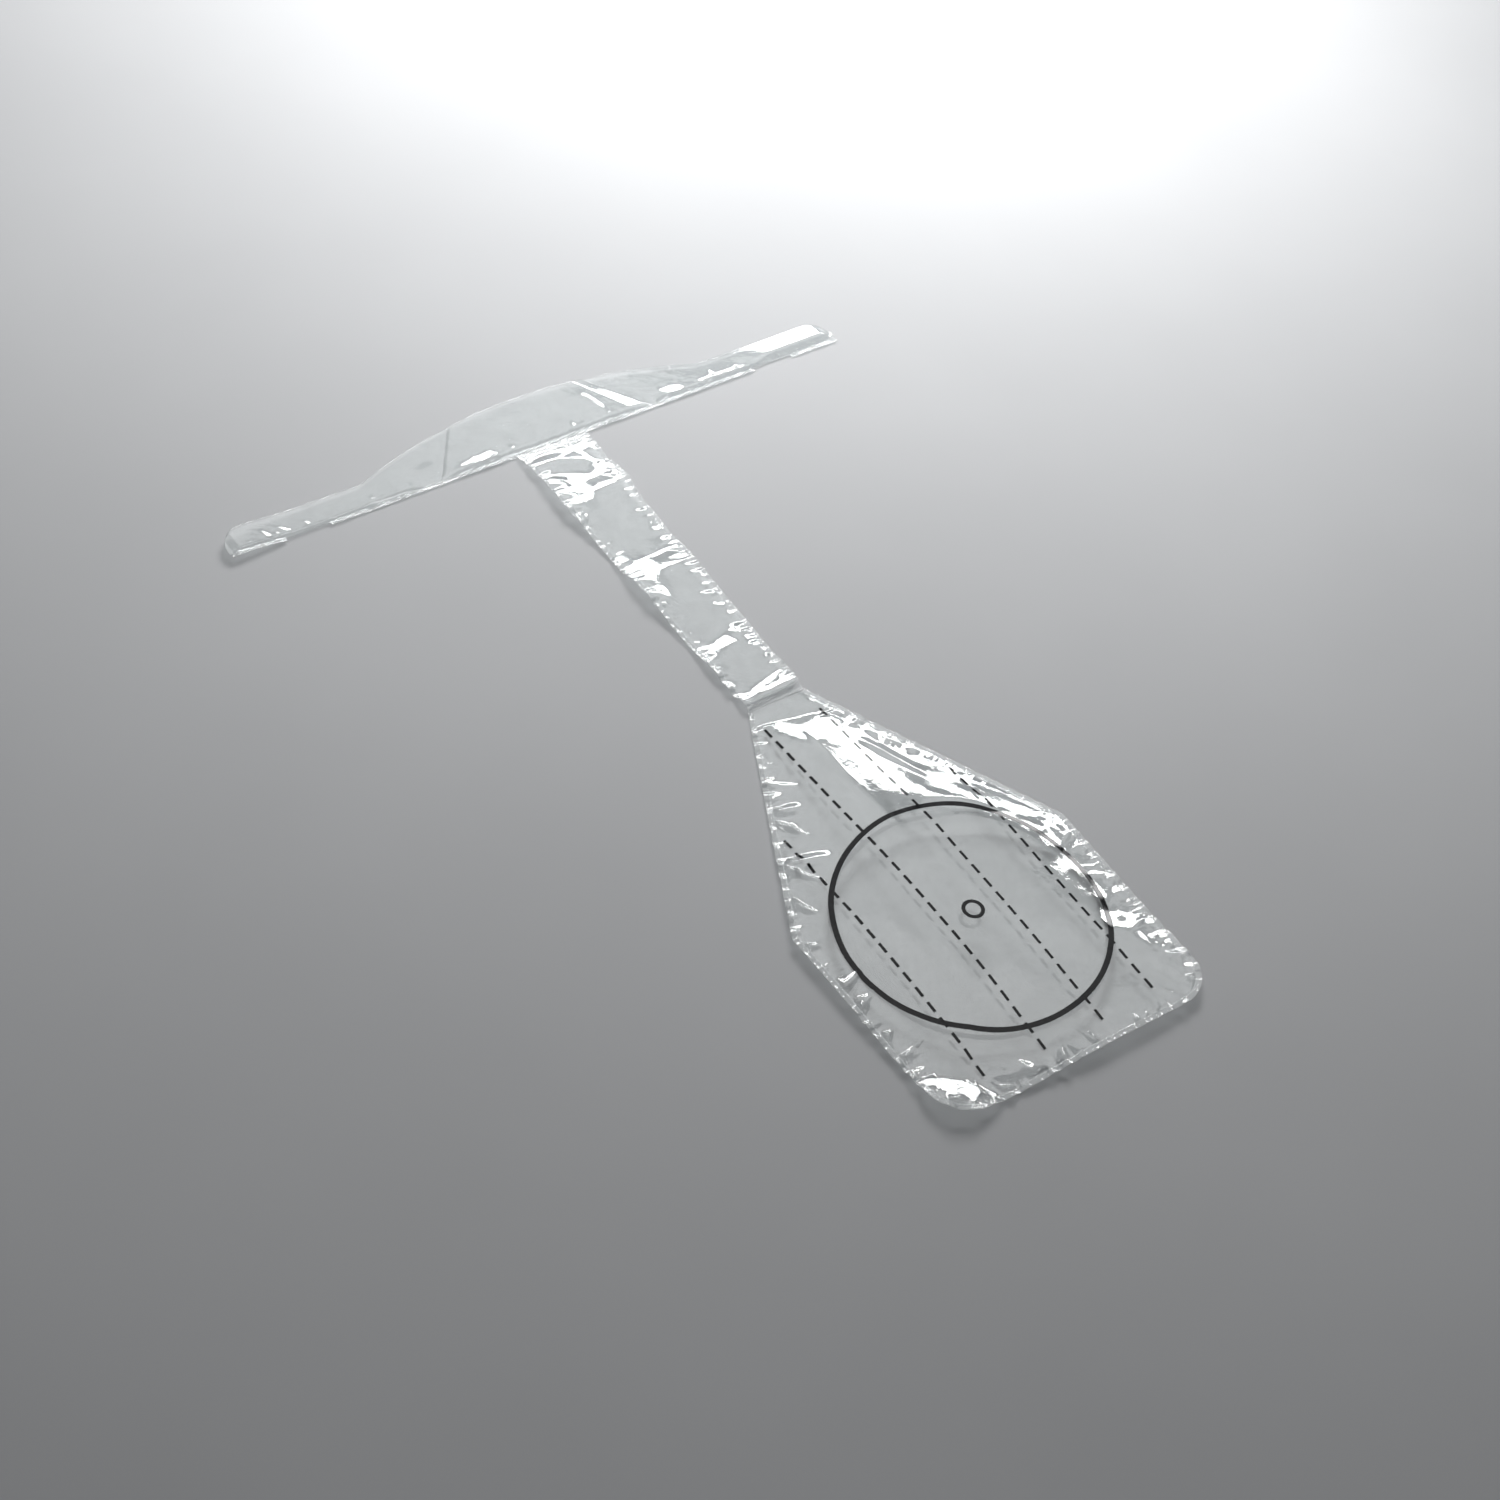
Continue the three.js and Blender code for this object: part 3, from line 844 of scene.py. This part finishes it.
def build_strap():
    x, y = strap_ply(0.8, 45)
    back, front = strap_heights(x, y)
    front_ply = piece("strap_front", [shell(np.stack([kinked(x, y), y, front], axis=2), FILM)],
                      film_look, "film", "strap", "strap_front_film")
    x, y = strap_ply(1.6, 23)
    back, _ = strap_heights(x, y)
    back_ply = piece("strap_back", [shell(np.stack([kinked(x, y), y, back], axis=2), FILM)],
                     film_look, "film", "strap", "strap_back_film")
    welds = [
        strap_cross_weld("strap_top_join", TOP_WELD_Y, STRAP_TOP_Y, "strap_top_weld"),
        strap_cross_weld("strap_end_join", STRAP_END_Y, END_WELD_Y, "strap_end_weld"),
        strap_side_seal("strap_left_edge", -1, "strap_left_seal"),
        strap_side_seal("strap_right_edge", 1, "strap_right_seal"),
    ]


# ---- Collar ----------------------------------------------------------------------------------------------

FOLD_RADIUS = 0.9
PRESSED_RADIUS = 0.1
LIE_HEIGHT = REST_HEIGHT + 0.3
LEFT_TIP_LIFT = 2.4
CREASE_HEIGHT = HINGE_HEIGHT - 0.5
CREASE_MIDDLE_X = (CREASE_BOTTOM_X + CREASE_TOP_X) / 2
CURL_SLOPE = 0.14
TIP_SHARE = 0.14  # the share of an arm's columns that are in its rounded tip
TIP_CLOSE = 0.985  # how far round its corner a tip goes

# Stretches of the seam, in x, where its cut edge curls up.
SEAM_CURLS = [(-52, -24), (-22, 22), (24, 55), (59, 118), (-118, -104), (-166, -142)]

# Each fold: its start, its end, its height, and the width of its near and far flank.
COLLAR_FOLDS = [
    ((-50, 189.3), (-30, 189.3), 0.7, 0.8, 6),
    ((59, 190), (76, 188.6), 0.65, 1.2, 5.8),
    ((82, 188.7), (114, 188.5), 0.33, 0.6, 3.8),
    ((31, 208), (34, 196), 0.4, 2, 2),
    ((-66, 197), (-56, 200), 0.5, 3, 4),
]


def collar_rest_height(x):
    """How high the collar's back ply lies: the left tip lifts off the floor."""
    lie = LIE_HEIGHT + 0.1 * ripple(x, 61, 60) + LEFT_TIP_LIFT * ramp(x, -128, -164)
    for crease in (-1, 1):
        lie = mix(lie, CREASE_HEIGHT, hill(x, crease * CREASE_MIDDLE_X, 34))
    return lie


def sleeve_rise(from_weld, reach, radius, lean):
    """How far a sleeve's front ply stands above its weld, before its folds."""
    wedge = np.clip(from_weld / reach, 0, 1)
    leaning = 2 * radius * rise_to(from_weld, -0.3, 0.8)
    hump = 3.4 * radius * (1 - wedge) * ramp(from_weld, -0.5, 4) + 2 * radius * wedge
    return mix(hump, leaning, lean)


def sleeve_relief(x, y, from_weld, reach, seed):
    """The puckers and folds of a sleeve's front ply, which fade out at its weld and at its top fold."""
    bumps = puckers(x, from_weld, seed, (x.min() - 3, x.max() + 3), spacing=7, steepness=0.2, reach=6)
    bumps = bumps + fold_heights(x, y, COLLAR_FOLDS)
    return bumps * ramp(from_weld, -0.8, 0.8) * ramp(from_weld / reach, 1, 0.8)


def sleeve(foot_x, head_x, flatness, lean, seed):
    """A folded sheet as a grid: columns along X, and rows from the free front edge, over the fold, to the
    free back edge. flatness is 1 where the sleeve is pressed flat. lean is 1 where the front is highest at
    its fold and 0 where it is highest near its seam."""
    head = collar_top(np.abs(head_x))
    radius = mix(FOLD_RADIUS, PRESSED_RADIUS, flatness)
    reach = np.maximum(head - FILM_INSET - radius, 0.2)
    rest = collar_rest_height(mix(foot_x, head_x, 0.5))
    front_share = np.sin(np.linspace(0, math.pi / 2, 34))[:, None]
    turn = np.linspace(math.pi / 2, -math.pi / 2, 11)[1:-1][:, None]
    back_share = np.linspace(1, 0, 14)[:, None]

    def rows(height, z):
        """Rows at a height above the seam, with columns on the lines from the foot to the head."""
        x = mix(foot_x, head_x, height / head)
        return np.stack([x, SEAM_Y + height, np.broadcast_to(z, height.shape)], axis=2)

    height = FILM_INSET + reach * front_share
    front = rows(height, rest + PLY_GAP)
    from_weld = height - SEAL_WIDTH
    relief = sleeve_relief(front[..., 0], front[..., 1], from_weld, reach, seed) * (1 - flatness)
    front[..., 2] += np.maximum(sleeve_rise(from_weld, reach, radius, lean) + relief, 0)

    half_gap = radius + PLY_GAP / 2
    bend = rows(FILM_INSET + reach + radius * np.cos(turn), rest + half_gap * (1 + np.sin(turn)))
    back = rows(FILM_INSET + reach * back_share, rest)
    return np.concatenate([front, bend, back])


def seam_crimp(x, height):
    """How the seam waves, and curls up at its cut edge. It stays flat at the creases."""
    free = 1.0
    for crease in (-1, 1):
        free = free * (1 - hill(x, crease * CREASE_BOTTOM_X, 10))
    curl = sum(ramp(x, start, start + 3) * ramp(x, end, end - 3) for start, end in SEAM_CURLS)
    wave = 0.12 * ripple(x, 71, 6) * (1.5 - height / SEAL_WIDTH / 2)
    return free * (wave + curl * CURL_SLOPE * (SEAL_WIDTH - height))


def seam_strip(name, foot_from, foot_to, lean_from, lean_to, body, node):
    """A stretch of the collar's sealed seam. lean is how far each end moves in x over the seal's width."""
    steps = max(int((foot_to - foot_from) / 0.8), 4)
    foot = np.linspace(foot_from, foot_to, steps)[None, :]
    lean = np.linspace(lean_from, lean_to, steps)[None, :]
    height = BEAD_OFFSETS[:, None]
    x = foot + lean * height / SEAL_WIDTH
    y = np.broadcast_to(SEAM_Y + height, x.shape)
    z = collar_rest_height(x) + PLY_GAP / 2 + seam_crimp(x, height)
    thickness = np.broadcast_to((SEAL_BODY + SEAL_BEAD * BEAD_SHAPE)[:, None], x.shape)
    return piece(name, [shell(np.stack([x, y, z], axis=2), thickness)], seal_look, "seal", body, node)


def collar_flatness(head_x):
    """How flat the middle of the collar is pressed towards its creases. On the right it steps down along an
    even slope, which is the bright wedge in the photo."""
    from_left = head_x + CREASE_TOP_X
    from_right = CREASE_TOP_X - head_x
    left = 0.5 * ramp(from_left, 16, 1) + 0.5 * ramp(from_left, 1.6, 0)
    right = 0.58 * rise_to(from_right, 7, 0) + 0.42 * ramp(from_right, 1.4, 0)
    return left + right


def build_collar():
    run = np.linspace(-1, 1, 110)[None, :]
    head_x = run * (CREASE_TOP_X - CREASE_HALF_GAP)
    foot_x = run * (CREASE_BOTTOM_X - CREASE_HALF_GAP)
    grid = sleeve(foot_x, head_x, collar_flatness(head_x), 1.0, 81)
    sleeve_piece = piece("collar_sleeve", [shell(grid, FILM)], film_look, "film", "collar",
                         "collar_film")
    foot = CREASE_BOTTOM_X - CREASE_HALF_GAP
    lean = CREASE_LEAN * SEAL_WIDTH
    seam = seam_strip("collar_seam", -foot, foot, lean, -lean, "collar", "collar_seal")


def arm_grid(side):
    """An arm's sleeve. Its columns go from the crease to the tip, and run along X on both sides."""
    run = np.linspace(0, 1, 120)
    tip_start = TIP_X - TIP_RADIUS
    straight = np.clip(run / (1 - TIP_SHARE), 0, 1)
    turn = np.clip((run - 1 + TIP_SHARE) / TIP_SHARE, 0, 1) * math.pi / 2
    into_tip = TIP_RADIUS * np.sin(turn) * TIP_CLOSE
    head_x = mix(CREASE_TOP_X + CREASE_HALF_GAP, tip_start, straight) + into_tip
    foot_x = mix(CREASE_BOTTOM_X + CREASE_HALF_GAP, tip_start, straight) + into_tip
    crease_reach = 28 if side < 0 else 14
    flatness = ramp(head_x - CREASE_TOP_X, crease_reach, 0) + ramp(TIP_X - head_x, 7, 0.5)
    lean = np.ones(len(run)) if side < 0 else ramp(head_x, 128, 104)
    order = slice(None, None, side)
    columns = (side * foot_x, side * head_x, flatness, lean)
    return sleeve(*(column[order][None, :] for column in columns), 82 + side)


def arm_seams(label, side):
    """The seam in two stretches, with the break between them."""
    start = CREASE_BOTTOM_X + CREASE_HALF_GAP
    lean_start = -CREASE_LEAN * SEAL_WIDTH
    stretches = [
        (f"{label}_arm_seam", start, SEAL_BREAK_START, lean_start, 0, f"{label}_arm_seal"),
        (f"{label}_tip_seam", SEAL_BREAK_END, TIP_X - 0.6, 0, -1.2, f"{label}_tip_seal"),
    ]
    seams = []
    for name, inner, outer, inner_lean, outer_lean, node in stretches:
        if side < 0:
            inner, outer, inner_lean, outer_lean = -outer, -inner, -outer_lean, -inner_lean
        seams.append(seam_strip(name, inner, outer, inner_lean, outer_lean, f"{label}_arm", node))
    return seams


def build_arm(label, side):
    sleeve_piece = piece(f"{label}_sleeve", [shell(arm_grid(side), FILM)], film_look, "film",
                         f"{label}_arm", f"{label}_arm_film")
    arm_seams(label, side)


# ---- Floor, lights and camera ----------------------------------------------------------------------------

AIM = Vector((-26.15, -18.42, 0)) * MM
HEADING = math.radians(41.68)
ELEVATION = math.radians(47.51)
ROLL = math.radians(9.74)
DISTANCE = 1263.2 * MM
LENS = 70
SEEN_THROUGH = 32  # folded up, many plies lie behind each other, and each ply is two surfaces
PANEL_DISTANCE = 3.0
FLOOR_LIGHT_POWER = 13.0
OVERHEAD_POWER = 0.7
WORLD_COLOUR = (0.62, 0.64, 0.68)
WORLD_STRENGTH = 0.085

# Panels that only show in the gloss: name, turn to the right of the camera's heading, height above the
# floor, half width and half height, all in degrees seen from the aim, and radiance.
PANELS = [
    ("softbox", -1, 29, 26, 4, 20),
    ("low_wall", 0, 41.5, 30, 3.5, 1.3),
    ("wall", 0, 52, 30, 7, 1.6),
    ("ceiling", 0, 69, 30, 10, 2.0),
    ("side_softbox", 115, 40, 12, 8, 5),
    ("rear_softbox", -125, 42, 12, 8, 5),
]


def ahead(distance, aside, height):
    """A point over the floor, ahead of the aim along the camera's heading and aside to its right."""
    forward = Vector((math.sin(HEADING), math.cos(HEADING), 0))
    right = Vector((math.cos(HEADING), -math.sin(HEADING), 0))
    return AIM + forward * distance + right * aside + Vector((0, 0, height))


def build_camera():
    data = bpy.data.cameras.new("camera")
    data.lens = LENS
    data.sensor_width = 36
    data.clip_start = 0.05
    data.clip_end = 20
    camera = bpy.data.objects.new("camera", data)
    bpy.context.scene.collection.objects.link(camera)
    location = ahead(-DISTANCE * math.cos(ELEVATION), 0, DISTANCE * math.sin(ELEVATION))
    level = (AIM - location).to_track_quat("-Z", "Y").to_matrix().to_4x4()
    camera.matrix_world = Matrix.Translation(location) @ level @ Matrix.Rotation(ROLL, 4, "Z")
    bpy.context.scene.camera = camera


def area_light(name, place, target, width, height, power):
    data = bpy.data.lights.new(name, "AREA")
    data.shape = "RECTANGLE"
    data.size = width
    data.size_y = height
    data.energy = power
    light = bpy.data.objects.new(name, data)
    bpy.context.scene.collection.objects.link(light)
    light.location = place
    light.rotation_mode = "QUATERNION"
    light.rotation_quaternion = (target - place).to_track_quat("-Z", "Y")
    light.visible_camera = False
    return light


def build_floor():
    half = 3.0
    mesh = bpy.data.meshes.new("floor")
    corners = [(-half, -half, 0), (half, -half, 0), (half, half, 0), (-half, half, 0)]
    mesh.from_pydata(corners, [], [(0, 1, 2, 3)])
    mesh.materials.append(floor_material())
    floor = bpy.data.objects.new("floor", mesh)
    bpy.context.scene.collection.objects.link(floor)


def direction_from_aim(turn, height, distance):
    """A point seen from the aim at an angle to the right of the heading and an angle above the floor."""
    turn, height = math.radians(turn), math.radians(height)
    level = distance * math.cos(height)
    return ahead(level * math.cos(turn), level * math.sin(turn), distance * math.sin(height))


def reflected_panel(name, turn, height, half_width, half_height, radiance):
    """A far panel that lights nothing but the gloss."""
    width = 2 * PANEL_DISTANCE * math.tan(math.radians(half_width))
    tall = 2 * PANEL_DISTANCE * math.tan(math.radians(half_height))
    power = math.pi * width * tall * radiance
    place = direction_from_aim(turn, height, PANEL_DISTANCE)
    area_light(name, place, AIM, width, tall, power).visible_diffuse = False


def build_lights():
    glow = area_light("floor_softbox", ahead(0.87, -0.07, 0.50), ahead(0.1, -0.05, 0), 0.36, 0.30,
                      FLOOR_LIGHT_POWER)
    glow.visible_glossy = False
    area_light("overhead_softbox", ahead(-0.2, -0.6, 1.6), AIM, 1.0, 1.0, OVERHEAD_POWER)
    for panel in PANELS:
        reflected_panel(*panel)
    world = bpy.data.worlds.new("studio")
    world.use_nodes = True
    background = world.node_tree.nodes["Background"]
    background.inputs["Color"].default_value = (*WORLD_COLOUR, 1)
    background.inputs["Strength"].default_value = WORLD_STRENGTH
    bpy.context.scene.world = world
    bpy.context.scene.view_settings.view_transform = "Standard"
    bpy.context.scene.cycles.transparent_max_bounces = SEEN_THROUGH


build_camera()
build_floor()
build_lights()
build_paddle()
build_marks()
build_strap()
build_collar()
build_arm("left", -1)
build_arm("right", 1)
